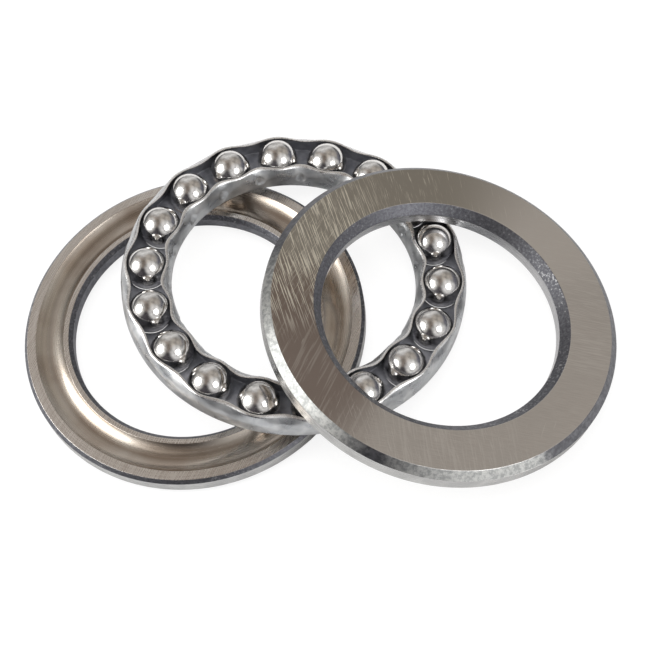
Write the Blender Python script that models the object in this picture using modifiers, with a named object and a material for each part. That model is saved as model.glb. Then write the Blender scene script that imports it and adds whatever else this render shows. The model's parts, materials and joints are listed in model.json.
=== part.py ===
"""Single-direction thrust ball bearing for a 35 mm shaft, laid out as its three separable pieces.

The housing washer lies flat on the floor with its raceway up. The ball cage lies on it and slopes
down to the floor. The shaft washer leans on the cage, raceway down, with its far edge on the floor.
Metres, +Z up, origin on the floor under the middle of the whole layout.
"""

import math

import bmesh
import bpy
from mathutils import Matrix, Vector

# Driving dimensions of the bearing
OUTSIDE_DIAMETER = 0.052
SHAFT_BORE = 0.035
HOUSING_BORE = 0.037
ASSEMBLED_HEIGHT = 0.012
BALL_DIAMETER = 0.00635
BALL_COUNT = 18
PITCH_DIAMETER = 0.044
GROOVE_RADIUS = 0.0034
GROOVE_DEPTH = 0.00077

# Edges of the two washers
BACK_RIM_CHAMFER = 0.0011
BACK_BORE_CHAMFER = 0.0013
FACE_RIM_CHAMFER = 0.0005
FACE_BORE_CHAMFER = 0.0006

# The pressed cage: heights count from the plane of the ball centres, and widths from the pitch circle
SHEET_THICKNESS = 0.00042
CAGE_BOTTOM = -0.00205
CAGE_RIM = 0.0019
FLANGE_OFFSET = 0.00372
BEND_RADIUS = 0.0006
RIM_CURL = 0.00045
RIM_PINCH = 0.00075
POCKET_RADIUS = 0.0029

# How the pieces lie: centres on the floor plan, slopes, and the compass heading of each downhill side
HOUSING_AT = (-0.0190, 0.0033)
CAGE_AT = (-0.0025, 0.0049)
CAGE_SLOPE = math.radians(9.5)
CAGE_HEADING = math.radians(9.7)
CAGE_TURN = math.radians(5.45)
SHAFT_AT = (0.01665, -0.00875)
SHAFT_SLOPE = math.radians(16.4)
SHAFT_HEADING = math.radians(-3.2)
FLOOR_GAP = 0.00003

# Mesh resolution
WASHER_STEPS = 72
GROOVE_STEPS = 6
STEPS_PER_WAVE = 6
POCKET_SIDES = 14
BALL_SEGMENTS = 16
BALL_RINGS = 8

# Worked out from the above
OUTSIDE_RADIUS = OUTSIDE_DIAMETER / 2
PITCH_RADIUS = PITCH_DIAMETER / 2
BALL_RADIUS = BALL_DIAMETER / 2
WASHER_THICKNESS = (ASSEMBLED_HEIGHT - BALL_DIAMETER) / 2 + GROOVE_DEPTH
SHARP_ANGLE = math.radians(30)
MERGE_DISTANCE = 0.00001

WASHER_STEEL = ("washer_steel", (0.46, 0.43, 0.40, 1.0), 0.28)
CAGE_STEEL = ("cage_steel", (0.62, 0.63, 0.64, 1.0), 0.32)
BALL_STEEL = ("ball_steel", (0.80, 0.79, 0.77, 1.0), 0.05)


def clear_scene():
    for obj in list(bpy.data.objects):
        bpy.data.objects.remove(obj, do_unlink=True)


def new_collection(name):
    collection = bpy.data.collections.new(name)
    bpy.context.scene.collection.children.link(collection)
    return collection


def metal(name, color, roughness):
    material = bpy.data.materials.new(name)
    material.use_nodes = True
    shader = material.node_tree.nodes["Principled BSDF"]
    shader.inputs["Base Color"].default_value = color
    shader.inputs["Metallic"].default_value = 1.0
    shader.inputs["Roughness"].default_value = roughness
    return material


def new_object(name, mesh, collection, material=None):
    obj = bpy.data.objects.new(name, mesh)
    collection.objects.link(obj)
    if material:
        mesh.materials.append(material)
    return obj


def profile_object(name, points, closed, collection):
    """A chain of edges through (radius, height) points, in the XZ plane on the +X side."""
    mesh = bpy.data.meshes.new(name)
    edges = [(i, i + 1) for i in range(len(points) - 1)]
    if closed:
        edges.append((len(points) - 1, 0))
    mesh.from_pydata([(radius, 0.0, height) for radius, height in points], edges, [])
    return new_object(name, mesh, collection)


def turn_about_z(obj, steps):
    screw = obj.modifiers.new("turn", "SCREW")
    screw.axis = "Z"
    screw.angle = 2 * math.pi
    screw.steps = steps
    screw.render_steps = steps
    screw.use_merge_vertices = True
    screw.merge_threshold = MERGE_DISTANCE


def applied(obj, name, collection, material):
    """A new mesh object from the evaluated one, which is removed."""
    graph = bpy.context.evaluated_depsgraph_get()
    mesh = bpy.data.meshes.new_from_object(obj.evaluated_get(graph))
    bpy.data.objects.remove(obj, do_unlink=True)
    mesh.name = name
    return new_object(name, mesh, collection, material)


def smooth(obj):
    obj.data.shade_smooth()
    obj.data.set_sharp_from_angle(angle=SHARP_ANGLE)


def washer_profile(bore_radius):
    """A washer with its back at height 0 and its raceway up, run down the rim and up the bore."""
    top = WASHER_THICKNESS
    half_chord = math.sqrt(GROOVE_RADIUS**2 - (GROOVE_RADIUS - GROOVE_DEPTH) ** 2)
    half_angle = math.asin(half_chord / GROOVE_RADIUS)
    points = [(bore_radius + FACE_BORE_CHAMFER, top)]
    for i in range(GROOVE_STEPS + 1):
        angle = half_angle * (2 * i / GROOVE_STEPS - 1)
        radius = PITCH_RADIUS + GROOVE_RADIUS * math.sin(angle)
        height = top + (GROOVE_RADIUS - GROOVE_DEPTH) - GROOVE_RADIUS * math.cos(angle)
        points.append((radius, height))
    points += [
        (OUTSIDE_RADIUS - FACE_RIM_CHAMFER, top),
        (OUTSIDE_RADIUS, top - FACE_RIM_CHAMFER),
        (OUTSIDE_RADIUS, BACK_RIM_CHAMFER),
        (OUTSIDE_RADIUS - BACK_RIM_CHAMFER, 0.0),
        (bore_radius + BACK_BORE_CHAMFER, 0.0),
        (bore_radius, BACK_BORE_CHAMFER),
        (bore_radius, top - FACE_BORE_CHAMFER),
    ]
    return points


def make_washer(name, bore_radius, collection, material):
    outline = profile_object(name + "_outline", washer_profile(bore_radius), True, collection)
    turn_about_z(outline, WASHER_STEPS)
    washer = applied(outline, name, collection, material)
    smooth(washer)
    return washer


def flange_offset(height, angle):
    """Distance of the flange's outer surface from the pitch circle: it curls in over each ball,
    and it is pinched further in between two balls."""
    rise = max(0.0, height / CAGE_RIM) ** 2
    pinch = (1 - math.cos(BALL_COUNT * angle)) / 2
    return FLANGE_OFFSET - rise * (RIM_CURL + RIM_PINCH * pinch)


def cage_side():
    """(offset, height) down one flange of the cage and round its bend to the web."""
    heights = (CAGE_RIM, 0.65 * CAGE_RIM, 0.25 * CAGE_RIM, CAGE_BOTTOM + BEND_RADIUS)
    side = [(FLANGE_OFFSET, height) for height in heights]
    middle = BEND_RADIUS * (1 - math.sqrt(0.5))
    side.append((FLANGE_OFFSET - middle, CAGE_BOTTOM + middle))
    side.append((FLANGE_OFFSET - BEND_RADIUS, CAGE_BOTTOM))
    return side


def pocket_cutters(collection):
    """One cylinder through the web at each ball."""
    mesh = bpy.data.meshes.new("pocket_cutters")
    build = bmesh.new()
    for index in range(BALL_COUNT):
        angle = 2 * math.pi * index / BALL_COUNT
        place = Matrix.Rotation(angle, 4, "Z") @ Matrix.Translation((PITCH_RADIUS, 0.0, CAGE_BOTTOM))
        bmesh.ops.create_cone(
            build,
            cap_ends=True,
            segments=POCKET_SIDES,
            radius1=POCKET_RADIUS,
            radius2=POCKET_RADIUS,
            depth=4 * SHEET_THICKNESS,
            matrix=place,
        )
    build.to_mesh(mesh)
    build.free()
    cutters = new_object("pocket_cutters", mesh, collection)
    cutters.hide_render = True
    cutters.display_type = "WIRE"
    return cutters


def make_cage(collection, cutters_in, material):
    side = cage_side()
    points = [(PITCH_RADIUS + offset, height) for offset, height in side]
    points += [(PITCH_RADIUS - offset, height) for offset, height in reversed(side)]
    outline = profile_object("cage_outline", points, False, collection)
    turn_about_z(outline, STEPS_PER_WAVE * BALL_COUNT)
    cage = applied(outline, "ball_cage", collection, material)
    for vertex in cage.data.vertices:
        radius = math.hypot(vertex.co.x, vertex.co.y)
        angle = math.atan2(vertex.co.y, vertex.co.x)
        shift = flange_offset(vertex.co.z, angle) - FLANGE_OFFSET
        if radius < PITCH_RADIUS:
            shift = -shift
        vertex.co.x += shift * math.cos(angle)
        vertex.co.y += shift * math.sin(angle)
    sheet = cage.modifiers.new("sheet", "SOLIDIFY")
    sheet.thickness = SHEET_THICKNESS
    sheet.offset = -1.0
    sheet.use_even_offset = True
    pockets = cage.modifiers.new("pockets", "BOOLEAN")
    pockets.operation = "DIFFERENCE"
    pockets.object = pocket_cutters(cutters_in)
    pockets.object.parent = cage
    smooth(cage)
    return cage


def make_ball_mesh(material):
    mesh = bpy.data.meshes.new("ball")
    build = bmesh.new()
    bmesh.ops.create_uvsphere(
        build, u_segments=BALL_SEGMENTS, v_segments=BALL_RINGS, radius=BALL_RADIUS
    )
    build.to_mesh(mesh)
    build.free()
    mesh.materials.append(material)
    mesh.shade_smooth()
    return mesh


def make_balls(cage, collection, material):
    mesh = make_ball_mesh(material)
    for index in range(BALL_COUNT):
        ball = new_object(f"ball_{index + 1:02d}", mesh, collection)
        angle = 2 * math.pi * index / BALL_COUNT
        ball.parent = cage
        ball.matrix_basis = Matrix.Rotation(angle, 4, "Z") @ Matrix.Translation((PITCH_RADIUS, 0.0, 0.0))


def sloped(centre, slope, heading):
    """A piece's place when it slopes down by slope towards heading, turned about a level axis."""
    level_axis = Vector((-math.sin(heading), math.cos(heading), 0.0))
    return Matrix.Translation(centre) @ Matrix.Rotation(slope, 4, level_axis)


def place_pieces(housing, cage, shaft, layout):
    for piece in (housing, cage, shaft):
        piece.parent = layout
    housing.matrix_basis = Matrix.Translation((*HOUSING_AT, 0.0))

    # The balls stand out below the cage, so the lowest ball is what touches the floor.
    cage_height = PITCH_RADIUS * math.sin(CAGE_SLOPE) + BALL_RADIUS + FLOOR_GAP
    lie = sloped((*CAGE_AT, cage_height), CAGE_SLOPE, CAGE_HEADING)
    cage.matrix_basis = lie @ Matrix.Rotation(CAGE_TURN, 4, "Z")

    # The washer is modelled raceway up with its back at height 0, so it is turned over and
    # lifted to bring the middle of its thickness to its own centre.
    edge_drop = (OUTSIDE_RADIUS - FACE_RIM_CHAMFER) * math.sin(SHAFT_SLOPE)
    shaft_height = edge_drop + WASHER_THICKNESS / 2 * math.cos(SHAFT_SLOPE) + FLOOR_GAP
    lean = sloped((*SHAFT_AT, shaft_height), SHAFT_SLOPE, SHAFT_HEADING)
    turned_over = Matrix.Rotation(math.pi, 4, "X")
    shaft.matrix_basis = lean @ Matrix.Translation((0.0, 0.0, WASHER_THICKNESS / 2)) @ turned_over


def centre_on_origin(layout, pieces):
    """Moves the layout so that the origin lies on the floor under the middle of its box."""
    bpy.context.view_layer.update()
    graph = bpy.context.evaluated_depsgraph_get()
    corners = []
    for piece in pieces:
        evaluated = piece.evaluated_get(graph)
        corners += [evaluated.matrix_world @ vertex.co for vertex in evaluated.data.vertices]
    for axis in range(2):
        values = [corner[axis] for corner in corners]
        layout.location[axis] = -(min(values) + max(values)) / 2


def main():
    clear_scene()
    parts = new_collection("thrust_ball_bearing")
    cutters = new_collection("cutters")
    layout = bpy.data.objects.new("layout", None)
    parts.objects.link(layout)
    washer_steel = metal(*WASHER_STEEL)

    housing = make_washer("housing_washer", HOUSING_BORE / 2, parts, washer_steel)
    shaft = make_washer("shaft_washer", SHAFT_BORE / 2, parts, washer_steel)
    cage = make_cage(parts, cutters, metal(*CAGE_STEEL))
    make_balls(cage, parts, metal(*BALL_STEEL))
    place_pieces(housing, cage, shaft, layout)
    centre_on_origin(layout, (housing, cage, shaft))


main()
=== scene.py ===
"""Looks of a single-direction thrust ball bearing laid out as its separable pieces.

Two turned washers, a pressed cage and its balls are rebuilt as fine meshes where the frame's
joints and boxes say they lie. Metres, +Z up. Each ring is modelled about its own Z axis and placed
by a matrix, so its materials read the ring's own coordinates.
"""

import json
import math

import bmesh
import bpy
from mathutils import Matrix, Vector, noise


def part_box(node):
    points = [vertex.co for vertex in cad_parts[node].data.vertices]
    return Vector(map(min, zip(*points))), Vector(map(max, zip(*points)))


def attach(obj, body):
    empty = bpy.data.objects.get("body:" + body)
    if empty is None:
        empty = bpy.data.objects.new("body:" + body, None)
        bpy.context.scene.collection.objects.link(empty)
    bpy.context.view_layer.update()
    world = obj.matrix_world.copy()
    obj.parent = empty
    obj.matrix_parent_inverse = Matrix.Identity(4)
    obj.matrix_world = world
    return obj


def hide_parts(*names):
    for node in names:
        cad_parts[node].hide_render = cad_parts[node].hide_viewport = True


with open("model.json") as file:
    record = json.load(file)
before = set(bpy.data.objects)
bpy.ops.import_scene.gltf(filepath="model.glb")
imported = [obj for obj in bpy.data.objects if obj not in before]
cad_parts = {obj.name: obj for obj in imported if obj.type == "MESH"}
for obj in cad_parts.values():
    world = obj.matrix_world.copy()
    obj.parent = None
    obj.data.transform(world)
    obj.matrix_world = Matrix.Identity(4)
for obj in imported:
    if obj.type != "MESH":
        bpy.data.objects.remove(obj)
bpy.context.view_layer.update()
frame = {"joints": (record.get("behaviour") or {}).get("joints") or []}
JOINTS = {joint["name"]: joint for joint in frame["joints"]}
MM = 0.001

# Washers
SHAFT_BORE = 35 * MM
HOUSING_BORE = 37 * MM
GROOVE_RADIUS = 3.4 * MM
GROOVE_DEPTH = 0.77 * MM
BACK_RIM_CHAMFER = 1.1 * MM
BACK_BORE_CHAMFER = 1.3 * MM
FACE_RIM_CHAMFER = 0.5 * MM
FACE_BORE_CHAMFER = 0.6 * MM
EDGE_ROUNDING = 0.12 * MM
WASHER_STEPS = 384
GROOVE_STEPS = 28
EDGE_STEPS = 4
SUPPORT_GAP = 0.03 * MM

# Cage: heights count from the plane of the ball centres, offsets from the pitch circle
SHEET = 0.42 * MM
CAGE_BOTTOM = -2.05 * MM
CAGE_RIM = 1.9 * MM
FLANGE_OFFSET = 3.72 * MM
BEND_RADIUS = 0.6 * MM
RIM_CURL = 0.45 * MM
RIM_PINCH = 0.75 * MM
RIM_UNEVENNESS = 0.05 * MM
RIM_UNEVENNESS_RATE = 9
CRIMP_DEPTH = 0.34 * MM
OUTER_CRIMP_DEPTH = 0.08 * MM
CRIMP_HALF_LENGTH = 0.80 * MM
CRIMP_HALF_HEIGHT = 0.75 * MM
CRIMP_HEIGHT = 0.15 * MM
CRIMP_STEEPNESS = 8
POCKET_RADIUS = 2.8 * MM
POCKET_SIDES = 48
STEPS_PER_WAVE = 30
FLANGE_STEPS = 24
BEND_STEPS = 5
WEB_STEPS = 5
TIP_STEPS = 3
TIP_OUTER_ROUNDING = 0.20 * MM
TIP_INNER_ROUNDING = 0.16 * MM
SHARP_ANGLE = math.radians(40)

# Balls
BALL_DIAMETER = 6.35 * MM
BALL_SEGMENTS = 72
BALL_RINGS = 36
BALL_TURN_STEP = 1.7

# Camera: it looks at AIM from the -Y side, and is turned a little about its own line of sight
AIM = Vector((1.6 * MM, 2.1 * MM, 0.0))
CAMERA_DISTANCE = 0.2275
CAMERA_ELEVATION = math.radians(61.08)
CAMERA_ROLL = math.radians(-13.6)
LENS_MM = 83.76
SENSOR_MM = 36.0
CLIP_START = 0.01

# A zone of a ring is full within this share of its half width, and fades out beyond it
ZONE_CORE = 0.45

# The materials of each ring, in the order of its slots
WASHER_FINISHES = ("land", "raceway", "rim", "chamfer", "back", "bore", "back_chamfer")
CAGE_FINISHES = ("outside", "inside", "edge")


# Placement, all from the frame

def axes_matrix(origin, x_axis, z_axis):
    """A placement with that origin, Z axis and, as nearly as it can be, X axis."""
    z_axis = z_axis.normalized()
    x_axis = (x_axis - z_axis * x_axis.dot(z_axis)).normalized()
    y_axis = z_axis.cross(x_axis)
    rotation = Matrix((x_axis, y_axis, z_axis)).transposed().to_4x4()
    return Matrix.Translation(origin) @ rotation


HOUSING_LOW, HOUSING_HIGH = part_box("housing_washer")
OUTSIDE_RADIUS = (HOUSING_HIGH.x - HOUSING_LOW.x) / 2
THICKNESS = HOUSING_HIGH.z - HOUSING_LOW.z
CAGE_CENTRE = Vector(JOINTS["cage_spin"]["pos_m"])
CAGE_AXIS = Vector(JOINTS["cage_spin"]["axis"])
BALL_JOINTS = sorted(name for name in JOINTS if name.startswith("ball_"))
BALL_COUNT = len(BALL_JOINTS)
FIRST_BALL = Vector(JOINTS[BALL_JOINTS[0]]["pos_m"])
PITCH_RADIUS = (FIRST_BALL - CAGE_CENTRE).length
SHAFT_AXIS = Vector(JOINTS["shaft_washer_spin"]["axis"])
SHAFT_BACK = Vector(JOINTS["shaft_washer_spin"]["pos_m"]) + SHAFT_AXIS * THICKNESS / 2

HOUSING_PLACE = Matrix.Translation((
    (HOUSING_LOW.x + HOUSING_HIGH.x) / 2, (HOUSING_LOW.y + HOUSING_HIGH.y) / 2, HOUSING_LOW.z))
CAGE_PLACE = axes_matrix(CAGE_CENTRE, FIRST_BALL - CAGE_CENTRE, CAGE_AXIS)
SHAFT_PLACE = axes_matrix(SHAFT_BACK, Vector((1, 0, 0)), -SHAFT_AXIS)


# Node helpers

def put(tree, socket, value):
    """Links value to the socket if it is a socket too, and otherwise sets it there."""
    if isinstance(value, bpy.types.NodeSocket):
        tree.links.new(value, socket)
    else:
        socket.default_value = value


def add_node(tree, kind, inputs=(), **settings):
    """A new node with those properties. inputs holds a value or a socket for each input named."""
    made = tree.nodes.new(kind)
    for key, value in settings.items():
        setattr(made, key, value)
    for key, value in dict(inputs).items():
        put(tree, made.inputs[key], value)
    return made


class Finish:
    """A material under construction: shader is its Principled BSDF, and add() puts a node in it.
    roughness is its typical value, for where the nodes that paint() links are not read."""

    def __init__(self, name, roughness, metallic=1.0):
        self.material = bpy.data.materials.new(name)
        self.material.use_nodes = True
        self.tree = self.material.node_tree
        self.shader = self.tree.nodes["Principled BSDF"]
        self.shader.inputs["Metallic"].default_value = metallic
        self.shader.inputs["Roughness"].default_value = roughness
        self.local = self.add("ShaderNodeTexCoord").outputs["Object"]

    def add(self, kind, inputs=(), **settings):
        return add_node(self.tree, kind, inputs, **settings)

    def math(self, operation, a, b=0.0, c=0.0):
        return self.add("ShaderNodeMath", {0: a, 1: b, 2: c}, operation=operation).outputs[0]

    def vector_math(self, operation, a, b=(0.0, 0.0, 0.0)):
        made = self.add("ShaderNodeVectorMath", {0: a, 1: b}, operation=operation)
        return made.outputs["Value"] if operation == "LENGTH" else made.outputs["Vector"]

    def noise(self, where, scale, detail=3.0, roughness=0.55, distortion=0.0):
        return self.add("ShaderNodeTexNoise", {
            "Vector": where, "Scale": scale, "Detail": detail, "Roughness": roughness,
            "Distortion": distortion}).outputs["Fac"]

    def window(self, value, low, high, to_low=0.0, to_high=1.0):
        """value between low and high, smoothly taken to between to_low and to_high."""
        return self.add("ShaderNodeMapRange", {
            "Value": value, "From Min": low, "From Max": high, "To Min": to_low, "To Max": to_high},
            interpolation_type="SMOOTHSTEP").outputs["Result"]

    def blend(self, share, a, b):
        made = self.add("ShaderNodeMix", {0: share, 6: a, 7: b}, data_type="RGBA")
        return made.outputs[2]

    def stretched(self, angle, along, across):
        """Local coordinates turned by angle about Z, and scaled along and across that direction."""
        turned = self.add("ShaderNodeMapping", {
            "Vector": self.local, "Rotation": (0.0, 0.0, angle)}, vector_type="TEXTURE").outputs["Vector"]
        return self.vector_math("MULTIPLY", turned, (along, across, across))

    def round_the_ring(self, turns, across):
        """Seamless coordinates that change slowly round the ring and quickly across it."""
        parts = self.add("ShaderNodeSeparateXYZ", {0: self.local})
        flat = self.vector_math("MULTIPLY", self.local, (1.0, 1.0, 0.0))
        radius = self.vector_math("LENGTH", flat)
        heading = self.vector_math("NORMALIZE", flat)
        around = self.vector_math("MULTIPLY", heading, (turns, turns, 0.0))
        depth = self.math("MULTIPLY", self.math("ADD", radius, parts.outputs["Z"]), across)
        both = self.add("ShaderNodeCombineXYZ", {"Z": depth}).outputs["Vector"]
        return self.vector_math("ADD", around, both)

    def zone(self, heading, half_width):
        """1 on the stretch of the ring that faces heading (radians from local X), 0 elsewhere."""
        flat = self.vector_math("MULTIPLY", self.local, (1.0, 1.0, 0.0))
        unit = self.vector_math("NORMALIZE", flat)
        towards = (math.cos(heading), math.sin(heading), 0.0)
        facing = self.add(
            "ShaderNodeVectorMath", {0: unit, 1: towards}, operation="DOT_PRODUCT").outputs["Value"]
        return self.window(facing, math.cos(half_width), math.cos(half_width * ZONE_CORE))

    def bump(self, height, distance, strength=1.0):
        made = self.add("ShaderNodeBump", {"Height": height, "Distance": distance, "Strength": strength})
        put(self.tree, self.shader.inputs["Normal"], made.outputs["Normal"])

    def paint(self, color=None, roughness=None):
        if color is not None:
            put(self.tree, self.shader.inputs["Base Color"], color)
        if roughness is not None:
            put(self.tree, self.shader.inputs["Roughness"], roughness)
        return self.material


def rgb(red, green, blue):
    return (red, green, blue, 1.0)


# Materials

def raceway_steel():
    finish = Finish("raceway_steel", 0.3)
    lay = finish.noise(finish.round_the_ring(1.3, 3600.0), 1.0, 4.0, 0.6)
    grain = finish.noise(finish.local, 3800.0, 3.0, 0.6)
    patches = finish.noise(finish.local, 90.0, 3.0)
    color = finish.blend(finish.window(patches, 0.35, 0.65), rgb(0.43, 0.36, 0.30), rgb(0.60, 0.55, 0.49))
    finish.bump(finish.math("ADD", lay, grain), 0.000002, 0.5)
    return finish.paint(color, finish.window(lay, 0.3, 0.7, 0.20, 0.29))


def land_steel():
    finish = Finish("land_steel", 0.3)
    hairlines = finish.noise(finish.stretched(math.radians(52), 160.0, 6500.0), 1.0, 4.0, 0.65)
    lay = finish.noise(finish.round_the_ring(2.0, 4200.0), 1.0, 3.0, 0.6)
    patches = finish.noise(finish.local, 120.0, 4.0)
    both = finish.math("ADD", finish.math("MULTIPLY", hairlines, 0.6), finish.math("MULTIPLY", lay, 0.4))
    tone = finish.blend(finish.window(both, 0.38, 0.62), rgb(0.74, 0.70, 0.66), rgb(0.86, 0.82, 0.78))
    color = finish.blend(finish.window(patches, 0.3, 0.75, 0.0, 0.35), tone, rgb(0.56, 0.50, 0.44))
    finish.bump(both, 0.000002, 0.5)
    return finish.paint(color, finish.window(both, 0.35, 0.65, 0.24, 0.33))


def rim_steel():
    finish = Finish("rim_steel", 0.28)
    lay = finish.noise(finish.round_the_ring(3.0, 6000.0), 1.0, 3.0, 0.6)
    patches = finish.noise(finish.local, 260.0, 4.0)
    color = finish.blend(finish.window(patches, 0.35, 0.7), rgb(0.54, 0.54, 0.535), rgb(0.43, 0.43, 0.43))
    finish.bump(lay, 0.000004, 0.6)
    return finish.paint(color, finish.window(lay, 0.3, 0.7, 0.22, 0.34))


def dark_turned_steel(name, grain_scale, bare):
    """A dark turned surface, worn through to bare metal in specks. On the chamfers the dark is hardening
    scale and painted shade for the shadow at the rings' edges as well; bare is the level of grain above which
    it is worn through."""
    finish = Finish(name, 0.4)
    grain = finish.noise(finish.local, grain_scale, 4.0, 0.7)
    patches = finish.noise(finish.local, 70.0, 2.0)
    worn = finish.window(finish.math("ADD", grain, finish.math("MULTIPLY", patches, 0.5)), bare, bare + 0.15)
    # On the chamfers this dark paints the shade at the rings' edges, together with their scale
    dark = finish.blend(finish.window(grain, 0.3, 0.7), rgb(0.13, 0.132, 0.150), rgb(0.24, 0.243, 0.265))
    color = finish.blend(worn, dark, rgb(0.62, 0.63, 0.64))
    finish.bump(grain, 0.00002, 0.5)
    return finish.paint(color, finish.window(worn, 0.0, 1.0, 0.42, 0.28))


# Headings and half widths (degrees) of the stretches of the back's outer chamfer that are painted bright, as
# rubbed metal and as the highlight where the window and the lamp shine on it: counter-clockwise from the
# ring's X axis with the back face towards the viewer
LIT_AND_RUBBED_ZONES = ((190, 50), (264, 34))


def painted_light_chamfer_steel():
    """The back's outer chamfer: dark scale that also paints the shade at the ring's edge, painted bright
    where it was rubbed in handling and as the highlight where the window and the lamp shine on it.
    """
    finish = Finish("painted_light_chamfer_steel", 0.4)
    grain = finish.noise(finish.local, 1500.0, 4.0, 0.65)
    mottle = finish.noise(finish.local, 420.0, 3.0)
    # Painted highlight and wear: the stretches that face the window and the lamp are made bright
    lit_and_rubbed = finish.math("MAXIMUM", *(
        finish.zone(math.radians(-heading), math.radians(half_width))
        for heading, half_width in LIT_AND_RUBBED_ZONES))
    level = finish.math("ADD", finish.math("MULTIPLY", lit_and_rubbed, 0.75), finish.math("MULTIPLY", grain, 0.22))
    bare = finish.window(finish.math("ADD", level, finish.math("MULTIPLY", mottle, 0.10)), 0.34, 0.86)
    dark = finish.blend(finish.window(grain, 0.3, 0.7), rgb(0.13, 0.132, 0.145), rgb(0.23, 0.232, 0.25))
    bright = finish.blend(finish.window(grain, 0.36, 0.64), rgb(0.54, 0.555, 0.55), rgb(0.90, 0.91, 0.89))
    finish.bump(grain, 0.00002, 0.5)
    return finish.paint(finish.blend(bare, dark, bright), finish.window(bare, 0.0, 1.0, 0.40, 0.32))


def ground_bore_steel():
    finish = Finish("ground_bore_steel", 0.3)
    lay = finish.noise(finish.round_the_ring(2.0, 5200.0), 1.0, 3.0, 0.6)
    patches = finish.noise(finish.local, 160.0, 3.0)
    color = finish.blend(finish.window(patches, 0.3, 0.7), rgb(0.44, 0.44, 0.46), rgb(0.56, 0.56, 0.57))
    finish.bump(lay, 0.000005, 0.6)
    return finish.paint(color, finish.window(lay, 0.3, 0.7, 0.22, 0.36))


# Families of grinding scratches on a back face, coloured bright as painted glints. Directions and headings
# are in degrees, counter-clockwise from the ring's X axis with the back face towards the viewer: the
# scratches' direction, the middle and half width of the stretch of the ring that they lie on, how fine they
# are, the share of that stretch that they cover, and how bright their painted glint is
SCRATCHES = (
    (96, 142, 46, 1.0, 0.42, 1.00),
    (92, 118, 56, 1.6, 0.16, 0.80),
    (50, 144, 27, 1.4, 0.28, 0.55),
    (54, 196, 40, 0.5, 0.34, 0.22),
    (57, 205, 30, 1.3, 0.08, 0.60),
    (84, 258, 36, 0.9, 0.38, 0.30),
    (94, 250, 44, 1.7, 0.22, 0.50),
    (-20, 350, 34, 1.0, 0.42, 0.34),
    (-22, 0, 50, 1.8, 0.22, 0.40),
    (86, 70, 50, 1.2, 0.10, 0.45),
    (58, 290, 20, 1.0, 0.05, 0.50),
)
SCRATCH_LENGTH_SCALE = 210.0
SCRATCH_WIDTH_SCALE = 5400.0


def back_steel():
    """Ground face: fine lay, and families of longer crossed scratches, painted bright where they would catch
    the light.
    """
    finish = Finish("back_steel", 0.3)
    lay = finish.noise(finish.stretched(math.radians(20), 420.0, 9000.0), 1.0, 3.0, 0.65)
    patches = finish.noise(finish.local, 60.0, 4.0)
    base = finish.blend(finish.window(lay, 0.35, 0.65), rgb(0.70, 0.67, 0.645), rgb(0.80, 0.77, 0.745))
    base = finish.blend(finish.window(patches, 0.35, 0.7, 0.0, 0.6), base, rgb(0.70, 0.68, 0.66))
    pale = finish.zone(math.radians(-52), math.radians(56))
    base = finish.blend(finish.math("MULTIPLY", pale, 0.8), base, rgb(0.90, 0.87, 0.84))
    gold = finish.zone(math.radians(-118), math.radians(84))
    base = finish.blend(finish.math("MULTIPLY", gold, 0.85), base, rgb(0.42, 0.395, 0.345))
    brown = finish.zone(math.radians(-188), math.radians(46))
    base = finish.blend(finish.math("MULTIPLY", brown, 0.8), base, rgb(0.29, 0.225, 0.20))
    scratches_and_glints = None
    for number, (direction, heading, half_width, fineness, cover, glint_brightness) in enumerate(SCRATCHES):
        place = finish.stretched(
            math.radians(-direction), SCRATCH_LENGTH_SCALE * fineness, SCRATCH_WIDTH_SCALE * fineness)
        # Each family reads its own stretch of the noise, cut at the level that leaves about its cover
        apart = finish.vector_math("ADD", place, (13.7 * number, 0.0, 5.3 * number))
        lines = finish.noise(apart, 1.0, 2.0, 0.5)
        cut = 0.5 + 0.2 * (1 - 2 * cover)
        mask = finish.window(lines, cut - 0.01, cut + 0.07)
        spread = finish.zone(math.radians(-heading), math.radians(half_width))
        share = finish.math("MULTIPLY", finish.math("MULTIPLY", mask, spread), glint_brightness)
        scratches_and_glints = share if scratches_and_glints is None else finish.math("MAXIMUM", scratches_and_glints, share)
    # Painted glints: the scratches are coloured near white, and gold in the gold stretch
    color = finish.blend(scratches_and_glints, base, finish.blend(gold, rgb(0.96, 0.94, 0.91), rgb(0.98, 0.94, 0.83)))
    relief = finish.math("ADD", finish.math("MULTIPLY", lay, 0.25), scratches_and_glints)
    finish.bump(relief, 0.000006, 0.7)
    return finish.paint(color, finish.window(scratches_and_glints, 0.0, 1.0, 0.28, 0.42))


def cage_steel():
    finish = Finish("cage_steel", 0.35, 0.75)
    blotches = finish.noise(finish.local, 420.0, 3.0, 0.5, 0.6)
    grain = finish.noise(finish.local, 2400.0, 3.0, 0.6)
    color = finish.blend(finish.window(blotches, 0.35, 0.65), rgb(0.42, 0.435, 0.455), rgb(0.60, 0.61, 0.62))
    stains = finish.noise(finish.local, 150.0, 2.0)
    color = finish.blend(finish.window(stains, 0.48, 0.66, 0.0, 0.7), color, rgb(0.20, 0.205, 0.215))
    both = finish.math("ADD", blotches, finish.math("MULTIPLY", grain, 0.15))
    finish.bump(both, 0.00005, 0.35)
    return finish.paint(color, finish.window(blotches, 0.3, 0.7, 0.26, 0.40))


def cage_edge_steel():
    """Sheared edge of the sheet, along the rims, in near-white steel that paints a bright highlight line on
    them beyond what the edge mirrors.
    """
    finish = Finish("cage_edge_steel", 0.2)
    nicks = finish.noise(finish.local, 1400.0, 3.0, 0.6)
    # Painted highlight: the edge's steel is near white so that the rims show a bright line
    color = finish.blend(finish.window(nicks, 0.35, 0.6), rgb(0.86, 0.87, 0.88), rgb(0.97, 0.97, 0.97))
    finish.bump(nicks, 0.00001, 0.4)
    return finish.paint(color, finish.window(nicks, 0.3, 0.7, 0.22, 0.34))


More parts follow.
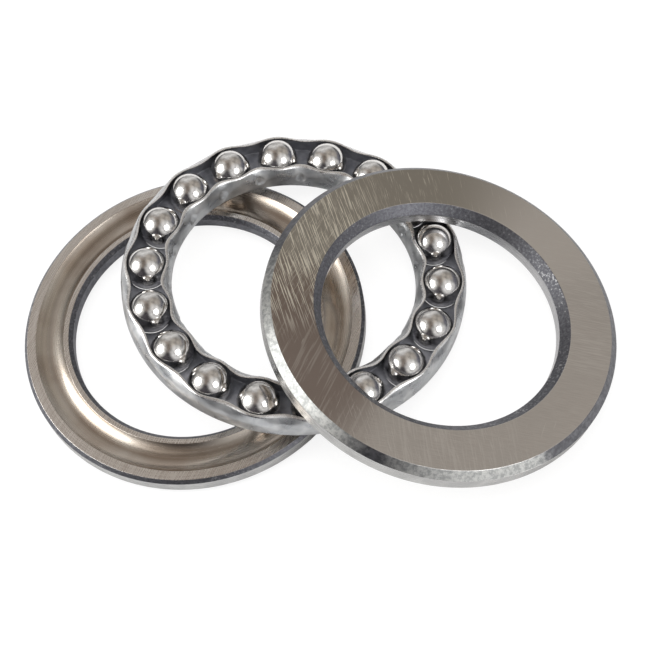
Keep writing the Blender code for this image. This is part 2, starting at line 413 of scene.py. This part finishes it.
def cage_inside_oil_and_shade_steel():
    """Oiled inside of the channel, painted darker as well for the shade that falls in it."""
    finish = Finish("cage_inside_oil_and_shade_steel", 0.3, 0.5)
    blotches = finish.noise(finish.local, 360.0, 3.0)
    # Painted shade: the channel's inside is darker than the sheet outside, for the shade in it as well as the
    # oil
    color = finish.blend(finish.window(blotches, 0.35, 0.65), rgb(0.20, 0.205, 0.23), rgb(0.36, 0.365, 0.40))
    finish.bump(blotches, 0.00006, 0.5)
    return finish.paint(color, finish.window(blotches, 0.3, 0.7, 0.34, 0.50))


def ball_chrome():
    finish = Finish("ball_chrome", 0.1)
    film = finish.noise(finish.local, 260.0, 3.0)
    hairlines = finish.noise(finish.stretched(0.7, 300.0, 9000.0), 1.0, 2.0)
    color = finish.blend(finish.window(film, 0.3, 0.7), rgb(0.78, 0.765, 0.745), rgb(0.86, 0.85, 0.84))
    finish.bump(hairlines, 0.0000004, 0.3)
    return finish.paint(color, finish.window(film, 0.3, 0.7, 0.12, 0.19))


def floor_white():
    """A matt pale floor. Seen by the camera it also glows a little, as a cleared white backdrop
    does, so that the shadows on it stay faint."""
    finish = Finish("floor_white", 0.9, 0.0)
    mottle = finish.noise(finish.local, 6.0, 3.0)
    color = finish.blend(mottle, rgb(0.62, 0.62, 0.62), rgb(0.66, 0.66, 0.66))
    finish.shader.inputs["Specular IOR Level"].default_value = 0.0
    matt = finish.shader.outputs[0]
    glow = finish.add("ShaderNodeEmission", {"Color": rgb(1.0, 1.0, 1.0), "Strength": FLOOR_GLOW}).outputs[0]
    dim = finish.add("ShaderNodeMixShader", {0: FLOOR_SHADOW, 1: glow, 2: matt}).outputs[0]
    for_camera = finish.add("ShaderNodeLightPath").outputs["Is Camera Ray"]
    seen = finish.add("ShaderNodeMixShader", {0: for_camera, 1: matt, 2: dim}).outputs[0]
    put(finish.tree, finish.tree.nodes["Material Output"].inputs["Surface"], seen)
    return finish.paint(color)


# Meshes

def rounded(corners):
    """An outline of (radius, height, finish) with each corner of (radius, height, rounding, finish)
    rounded off, and with a point close to each end of a rounding to keep the flats flat."""
    outline = []
    count = len(corners)
    for index, (radius, height, rounding, finish) in enumerate(corners):
        here = Vector((radius, height))
        before = Vector(corners[index - 1][:2])
        after = Vector(corners[(index + 1) % count][:2])
        last_finish = corners[index - 1][3]
        if not rounding:
            outline.append((radius, height, finish))
            continue
        back = (before - here).normalized()
        ahead = (after - here).normalized()
        reach = rounding / math.tan(back.angle(ahead) / 2)
        start = here + back * reach
        end = here + ahead * reach
        support = min(SUPPORT_GAP, (before - here).length / 4)
        outline.append((*(start + back * support), last_finish))
        for step in range(EDGE_STEPS + 1):
            share = step / EDGE_STEPS
            point = start * (1 - share) ** 2 + here * (2 * share * (1 - share)) + end * share**2
            outline.append((*point, last_finish if share < 0.5 else finish))
        support = min(SUPPORT_GAP, (after - here).length / 4)
        outline.append((*(end + ahead * support), finish))
    return outline


def washer_corners(bore_radius):
    """The washer's outline with its back at height 0: over the raceway, down the rim, up the bore."""
    top = THICKNESS
    lip = math.asin(math.sqrt(GROOVE_RADIUS**2 - (GROOVE_RADIUS - GROOVE_DEPTH) ** 2) / GROOVE_RADIUS)
    corners = [(bore_radius + FACE_BORE_CHAMFER, top, EDGE_ROUNDING, "land")]
    for step in range(GROOVE_STEPS + 1):
        angle = lip * (2 * step / GROOVE_STEPS - 1)
        radius = PITCH_RADIUS + GROOVE_RADIUS * math.sin(angle)
        height = top + (GROOVE_RADIUS - GROOVE_DEPTH) - GROOVE_RADIUS * math.cos(angle)
        at_end = step in (0, GROOVE_STEPS)
        finish = "land" if step == GROOVE_STEPS else "raceway"
        corners.append((radius, height, EDGE_ROUNDING if at_end else 0.0, finish))
    corners += [
        (OUTSIDE_RADIUS - FACE_RIM_CHAMFER, top, EDGE_ROUNDING, "chamfer"),
        (OUTSIDE_RADIUS, top - FACE_RIM_CHAMFER, EDGE_ROUNDING, "rim"),
        (OUTSIDE_RADIUS, BACK_RIM_CHAMFER, 2 * EDGE_ROUNDING, "back_chamfer"),
        (OUTSIDE_RADIUS - BACK_RIM_CHAMFER, 0.0, EDGE_ROUNDING, "back"),
        (bore_radius + BACK_BORE_CHAMFER, 0.0, 2 * EDGE_ROUNDING, "chamfer"),
        (bore_radius, BACK_BORE_CHAMFER, 2 * EDGE_ROUNDING, "bore"),
        (bore_radius, top - FACE_BORE_CHAMFER, EDGE_ROUNDING, "chamfer"),
    ]
    return corners


def ring_mesh(name, sections, finishes):
    """A closed ring: sections are its outlines of (radius, height) at equal steps round Z, and
    finishes says for each point which material the strip after it takes."""
    steps = len(sections)
    count = len(finishes)
    vertices = []
    for step, section in enumerate(sections):
        angle = 2 * math.pi * step / steps
        across, up = math.cos(angle), math.sin(angle)
        vertices += [(radius * across, radius * up, height) for radius, height in section]
    faces = []
    for step in range(steps):
        here = step * count
        there = (step + 1) % steps * count
        for point in range(count):
            following = (point + 1) % count
            faces.append((here + point, here + following, there + following, there + point))
    mesh = bpy.data.meshes.new(name)
    mesh.from_pydata(vertices, [], faces)
    mesh.polygons.foreach_set("material_index", list(finishes) * steps)
    mesh.shade_smooth()
    return mesh


def new_piece(name, mesh, place, materials=()):
    piece = bpy.data.objects.new(name, mesh)
    bpy.context.scene.collection.objects.link(piece)
    piece.matrix_world = place
    for material in materials:
        mesh.materials.append(material)
    return piece


def stands_for(piece, node):
    """The piece replaces the CAD node of that name and rides on its body."""
    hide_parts(node)
    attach(piece, node)


def make_washer(name, bore_radius, place, materials):
    outline = rounded(washer_corners(bore_radius))
    section = [(radius, height) for radius, height, _ in outline]
    finishes = [WASHER_FINISHES.index(finish) for _, _, finish in outline]
    mesh = ring_mesh(name, [section] * WASHER_STEPS, finishes)
    return new_piece(name, mesh, place, materials)


def flange_shift(height, angle, crimp_depth):
    """How far the flange stands in from its straight position: its rim curls in over each ball and is
    pinched further between two balls, where it also has a crimp, pressed in crimp_depth."""
    rise = max(0.0, height / CAGE_RIM) ** 2
    pinch = (1 - math.cos(BALL_COUNT * angle)) / 2
    sampled = Vector((RIM_UNEVENNESS_RATE * math.cos(angle), RIM_UNEVENNESS_RATE * math.sin(angle), 0.5))
    unevenness = RIM_UNEVENNESS * noise.noise(sampled)
    from_middle = (angle * BALL_COUNT / (2 * math.pi) % 1 - 0.5) * 2 * math.pi / BALL_COUNT * PITCH_RADIUS
    reach = math.hypot(from_middle / CRIMP_HALF_LENGTH, (height - CRIMP_HEIGHT) / CRIMP_HALF_HEIGHT)
    crimp = math.exp(-reach**CRIMP_STEEPNESS)
    return rise * (RIM_CURL + RIM_PINCH * pinch + unevenness) + crimp_depth * crimp


def flange_line():
    """(offset, height, finish) once round the section of the outer half of the cage sheet: from
    the middle of the web's top, up the inside, over the tip, down the outside to the web's bottom."""
    floor = CAGE_BOTTOM + SHEET
    inner = FLANGE_OFFSET - SHEET
    inner_bend = BEND_RADIUS - SHEET
    inner_tip = CAGE_RIM - TIP_INNER_ROUNDING
    outer_tip = CAGE_RIM - TIP_OUTER_ROUNDING
    line = []
    for step in range(WEB_STEPS):
        line.append(((inner - inner_bend) * step / WEB_STEPS, floor, "inside"))
    for step in range(BEND_STEPS + 1):
        turn = math.pi / 2 * step / BEND_STEPS
        line.append((inner - inner_bend * (1 - math.sin(turn)),
                     floor + inner_bend * (1 - math.cos(turn)), "inside"))
    low = floor + inner_bend
    for step in range(1, FLANGE_STEPS):
        line.append((inner, low + (inner_tip - low) * step / FLANGE_STEPS, "inside"))
    for step in range(TIP_STEPS + 1):
        turn = math.pi / 2 * step / TIP_STEPS
        line.append((inner + TIP_INNER_ROUNDING * (1 - math.cos(turn)),
                     inner_tip + TIP_INNER_ROUNDING * math.sin(turn), "edge"))
    for step in range(TIP_STEPS + 1):
        turn = math.pi / 2 * step / TIP_STEPS
        finish = "edge" if step < TIP_STEPS else "outside"
        line.append((FLANGE_OFFSET - TIP_OUTER_ROUNDING * (1 - math.sin(turn)),
                     outer_tip + TIP_OUTER_ROUNDING * math.cos(turn), finish))
    low = CAGE_BOTTOM + BEND_RADIUS
    for step in range(1, FLANGE_STEPS):
        line.append((FLANGE_OFFSET, outer_tip + (low - outer_tip) * step / FLANGE_STEPS, "outside"))
    for step in range(BEND_STEPS + 1):
        turn = math.pi / 2 * step / BEND_STEPS
        line.append((FLANGE_OFFSET - BEND_RADIUS * (1 - math.cos(turn)),
                     low - BEND_RADIUS * math.sin(turn), "outside"))
    for step in range(1, WEB_STEPS + 1):
        line.append(((FLANGE_OFFSET - BEND_RADIUS) * (1 - step / WEB_STEPS), CAGE_BOTTOM, "outside"))
    return line


def pocket_cutters():
    build = bmesh.new()
    for index in range(BALL_COUNT):
        angle = 2 * math.pi * index / BALL_COUNT
        place = Matrix.Rotation(angle, 4, "Z") @ Matrix.Translation((PITCH_RADIUS, 0.0, CAGE_BOTTOM))
        bmesh.ops.create_cone(
            build, cap_ends=True, segments=POCKET_SIDES, radius1=POCKET_RADIUS, radius2=POCKET_RADIUS,
            depth=4 * SHEET, matrix=place)
    mesh = bpy.data.meshes.new("pocket_cutters")
    build.to_mesh(mesh)
    build.free()
    mesh.polygons.foreach_set("material_index", [CAGE_FINISHES.index("inside")] * len(mesh.polygons))
    return new_piece("pocket_cutters", mesh, CAGE_PLACE)


def make_cage(materials):
    outer = flange_line()
    # The other half runs back the same way, so a strip takes the finish of the point before it there
    mirrored = [(-offset, height, outer[index - 1][2]) for index, (offset, height, _) in enumerate(outer)]
    outline = outer + mirrored[-2:0:-1]
    steps = STEPS_PER_WAVE * BALL_COUNT
    sections = []
    for step in range(steps):
        angle = 2 * math.pi * step / steps
        section = []
        for offset, height, _ in outline:
            side = math.copysign(1.0, offset) * min(1.0, abs(offset) / (FLANGE_OFFSET - SHEET))
            crimp_depth = CRIMP_DEPTH if side < 0 else OUTER_CRIMP_DEPTH
            section.append((PITCH_RADIUS + offset - side * flange_shift(height, angle, crimp_depth), height))
        sections.append(section)
    finishes = [CAGE_FINISHES.index(finish) for _, _, finish in outline]
    mesh = ring_mesh("ball_cage_pressing", sections, finishes)
    cage = new_piece(mesh.name, mesh, CAGE_PLACE, materials)
    cutters = pocket_cutters()
    pockets = cage.modifiers.new("pockets", "BOOLEAN")
    pockets.object = cutters
    bpy.context.view_layer.update()
    graph = bpy.context.evaluated_depsgraph_get()
    cut = bpy.data.meshes.new_from_object(cage.evaluated_get(graph))
    cage.modifiers.clear()
    cage.data = cut
    bpy.data.objects.remove(cutters, do_unlink=True)
    cut.set_sharp_from_angle(angle=SHARP_ANGLE)
    return cage


def make_ball(number, joint, material):
    centre = Vector(joint["pos_m"])
    build = bmesh.new()
    bmesh.ops.create_uvsphere(
        build, u_segments=BALL_SEGMENTS, v_segments=BALL_RINGS, radius=BALL_DIAMETER / 2)
    mesh = bpy.data.meshes.new(f"ball_{number:02d}_sphere")
    build.to_mesh(mesh)
    build.free()
    mesh.shade_smooth()
    # Each ball is turned its own way, so that no two show the same hairlines
    turn_axis = Vector((1.0, 0.3 * number, 0.7)).normalized()
    spin = Matrix.Rotation(BALL_TURN_STEP * number, 4, turn_axis)
    place = axes_matrix(centre, Vector(joint["axis"]), CAGE_AXIS) @ spin
    return new_piece(mesh.name, mesh, place, [material])


# Stage

# Round lights aimed at AIM: the direction that each stands in, its distance and diameter (metres),
# its power (watts) and its colour
WINDOW_TOWARDS = Vector((-0.77, 0.08, 0.63))
LAMP_TOWARDS = Vector((0.54, -0.56, 0.62))
OVERHEAD = Vector((0.0, 0.0, 1.0))
DAYLIGHT = (1.0, 0.99, 0.97)
NEUTRAL = (1.0, 1.0, 1.0)
LIGHTS = {
    "window": (WINDOW_TOWARDS, 0.7, 0.46, 2.3, DAYLIGHT),
    "dimmed_window": (WINDOW_TOWARDS, 0.7, 0.46, 0.6, DAYLIGHT),
    "round_lamp": (LAMP_TOWARDS, 0.7, 0.32, 1.0, NEUTRAL),
    "floor_fill": (OVERHEAD, 1.2, 1.2, 12.0, NEUTRAL),
}
FLOOR_SIZE = 3.0
FLOOR_GLOW = 1.15
FLOOR_SHADOW = 0.25
BACKDROP_TONE = 0.93

# What the steel mirrors: the room's tone at each height, then larger things that stand in it and
# the glow round the lights, as the direction they are in, their half widths in degrees (where they
# fade out, where they are full) and their colour
ROOM_TONES = (
    (0.00, rgb(0.05, 0.05, 0.055)),
    (0.14, rgb(0.07, 0.07, 0.075)),
    (0.32, rgb(0.34, 0.33, 0.32)),
    (0.60, rgb(0.38, 0.345, 0.31)),
    (0.85, rgb(0.29, 0.25, 0.22)),
    (1.00, rgb(0.21, 0.175, 0.15)),
)
ROOM_THINGS = (
    ((0.15, 0.85, 0.50), 40, 16, rgb(0.62, 0.61, 0.60)),
    ((-0.20, -0.95, 0.15), 66, 40, rgb(0.055, 0.05, 0.055)),
    ((0.97, -0.10, 0.10), 48, 20, rgb(0.10, 0.10, 0.12)),
    ((0.52, 0.28, 0.80), 40, 16, rgb(0.42, 0.385, 0.345)),
    (WINDOW_TOWARDS, 42, 14, rgb(0.80, 0.79, 0.77)),
    (LAMP_TOWARDS, 48, 20, rgb(0.66, 0.65, 0.64)),
)


def disk_light(name):
    """The light of that name in LIGHTS, aimed at AIM."""
    towards, distance, diameter, power, color = LIGHTS[name]
    light = bpy.data.lights.new(name, "AREA")
    light.shape = "DISK"
    light.size = diameter
    light.energy = power
    light.color = color
    lamp = bpy.data.objects.new(name, light)
    bpy.context.scene.collection.objects.link(lamp)
    lamp.location = AIM + towards.normalized() * distance
    lamp.rotation_mode = "QUATERNION"
    lamp.rotation_quaternion = towards.to_track_quat("Z", "Y")
    lamp.visible_camera = False
    return lamp


def lights_only(light, pieces):
    """Keeps that light to those pieces."""
    lit = bpy.data.collections.new(f"lit_by_{light.name}")
    for piece in pieces:
        lit.objects.link(piece)
    light.light_linking.receiver_collection = lit


def make_room():
    """The room that the steel mirrors, as a sky: tones by height, things in it, and some clutter.
    The camera sees a plain pale backdrop instead."""
    world = bpy.data.worlds.new("room")
    bpy.context.scene.world = world
    world.use_nodes = True
    tree = world.node_tree

    def add(kind, inputs=(), **settings):
        return add_node(tree, kind, inputs, **settings)

    towards = add("ShaderNodeTexCoord").outputs["Generated"]
    height = add("ShaderNodeSeparateXYZ", {0: towards}).outputs["Z"]
    ramp = add("ShaderNodeValToRGB", {0: height})
    elements = ramp.color_ramp.elements
    while len(elements) < len(ROOM_TONES):
        elements.new(0.5)
    for element, (place, color) in zip(elements, ROOM_TONES):
        element.position = place
        element.color = color
    color = ramp.outputs["Color"]
    for direction, edge, core, tone in ROOM_THINGS:
        facing = add("ShaderNodeVectorMath", {
            0: towards, 1: Vector(direction).normalized()}, operation="DOT_PRODUCT").outputs["Value"]
        low, high = math.cos(math.radians(edge)), math.cos(math.radians(core))
        share = add("ShaderNodeMapRange", {
            "Value": facing, "From Min": low, "From Max": high},
            interpolation_type="SMOOTHSTEP").outputs["Result"]
        color = add("ShaderNodeMix", {0: share, 6: color, 7: tone}, data_type="RGBA").outputs[2]
    clutter = add("ShaderNodeTexNoise", {"Vector": towards, "Scale": 2.6, "Detail": 3.0}).outputs["Fac"]
    lift = add("ShaderNodeMapRange", {
        "Value": clutter, "From Min": 0.35, "From Max": 0.65, "To Min": 0.6, "To Max": 1.4}).outputs["Result"]
    background = tree.nodes["Background"]
    put(tree, background.inputs["Color"], color)
    put(tree, background.inputs["Strength"], lift)
    backdrop_color = rgb(BACKDROP_TONE, BACKDROP_TONE, BACKDROP_TONE)
    backdrop = add("ShaderNodeBackground", {"Color": backdrop_color}).outputs[0]
    for_camera = add("ShaderNodeLightPath").outputs["Is Camera Ray"]
    seen = add("ShaderNodeMixShader", {0: for_camera, 1: background.outputs[0], 2: backdrop}).outputs[0]
    put(tree, tree.nodes["World Output"].inputs["Surface"], seen)


def make_floor():
    build = bmesh.new()
    bmesh.ops.create_grid(build, x_segments=2, y_segments=2, size=FLOOR_SIZE)
    mesh = bpy.data.meshes.new("floor")
    build.to_mesh(mesh)
    build.free()
    floor = new_piece("floor", mesh, Matrix.Identity(4), [floor_white()])
    return floor


def make_camera():
    data = bpy.data.cameras.new("camera")
    data.lens = LENS_MM
    data.sensor_width = SENSOR_MM
    data.clip_start = CLIP_START
    camera = bpy.data.objects.new("camera", data)
    bpy.context.scene.collection.objects.link(camera)
    back = Vector((0.0, -math.cos(CAMERA_ELEVATION), math.sin(CAMERA_ELEVATION)))
    level = Vector((1.0, 0.0, 0.0))
    upward = back.cross(level)
    across = level * math.cos(CAMERA_ROLL) + upward * math.sin(CAMERA_ROLL)
    camera.matrix_world = axes_matrix(AIM + back * CAMERA_DISTANCE, across, back)
    bpy.context.scene.camera = camera


def main():
    make_camera()
    # The chamfers' dark is their scale and also painted shade for the shadow at the rings' edges
    chamfer = dark_turned_steel("chamfer_steel", grain_scale=2600.0, bare=0.85)
    shared = [land_steel(), raceway_steel(), rim_steel(), chamfer, back_steel()]
    painted_light_chamfer = painted_light_chamfer_steel()
    # The housing's bore is dark
    dark_bore = dark_turned_steel("dark_bore_steel", grain_scale=900.0, bare=1.2)
    housing_steels = shared + [dark_bore, painted_light_chamfer]
    housing = make_washer("housing_washer_ring", HOUSING_BORE / 2, HOUSING_PLACE, housing_steels)
    stands_for(housing, "housing_washer")
    shaft_steels = shared + [ground_bore_steel(), painted_light_chamfer]
    shaft = make_washer("shaft_washer_ring", SHAFT_BORE / 2, SHAFT_PLACE, shaft_steels)
    stands_for(shaft, "shaft_washer")
    cage = make_cage([cage_steel(), cage_inside_oil_and_shade_steel(), cage_edge_steel()])
    stands_for(cage, "ball_cage")
    chrome = ball_chrome()
    balls = []
    for number, name in enumerate(BALL_JOINTS, 1):
        ball = make_ball(number, JOINTS[name], chrome)
        stands_for(ball, JOINTS[name]["child"])
        balls.append(ball)
    floor = make_floor()
    make_room()
    # The shaft washer's flat back mirrors the window into one white patch, so a dimmer one lights it
    lights_only(disk_light("window"), [housing, cage, floor] + balls)
    lights_only(disk_light("dimmed_window"), [shaft])
    disk_light("round_lamp")
    disk_light("floor_fill").visible_glossy = False
    view = bpy.context.scene.view_settings
    view.view_transform = "Standard"
    view.look = "None"


main()
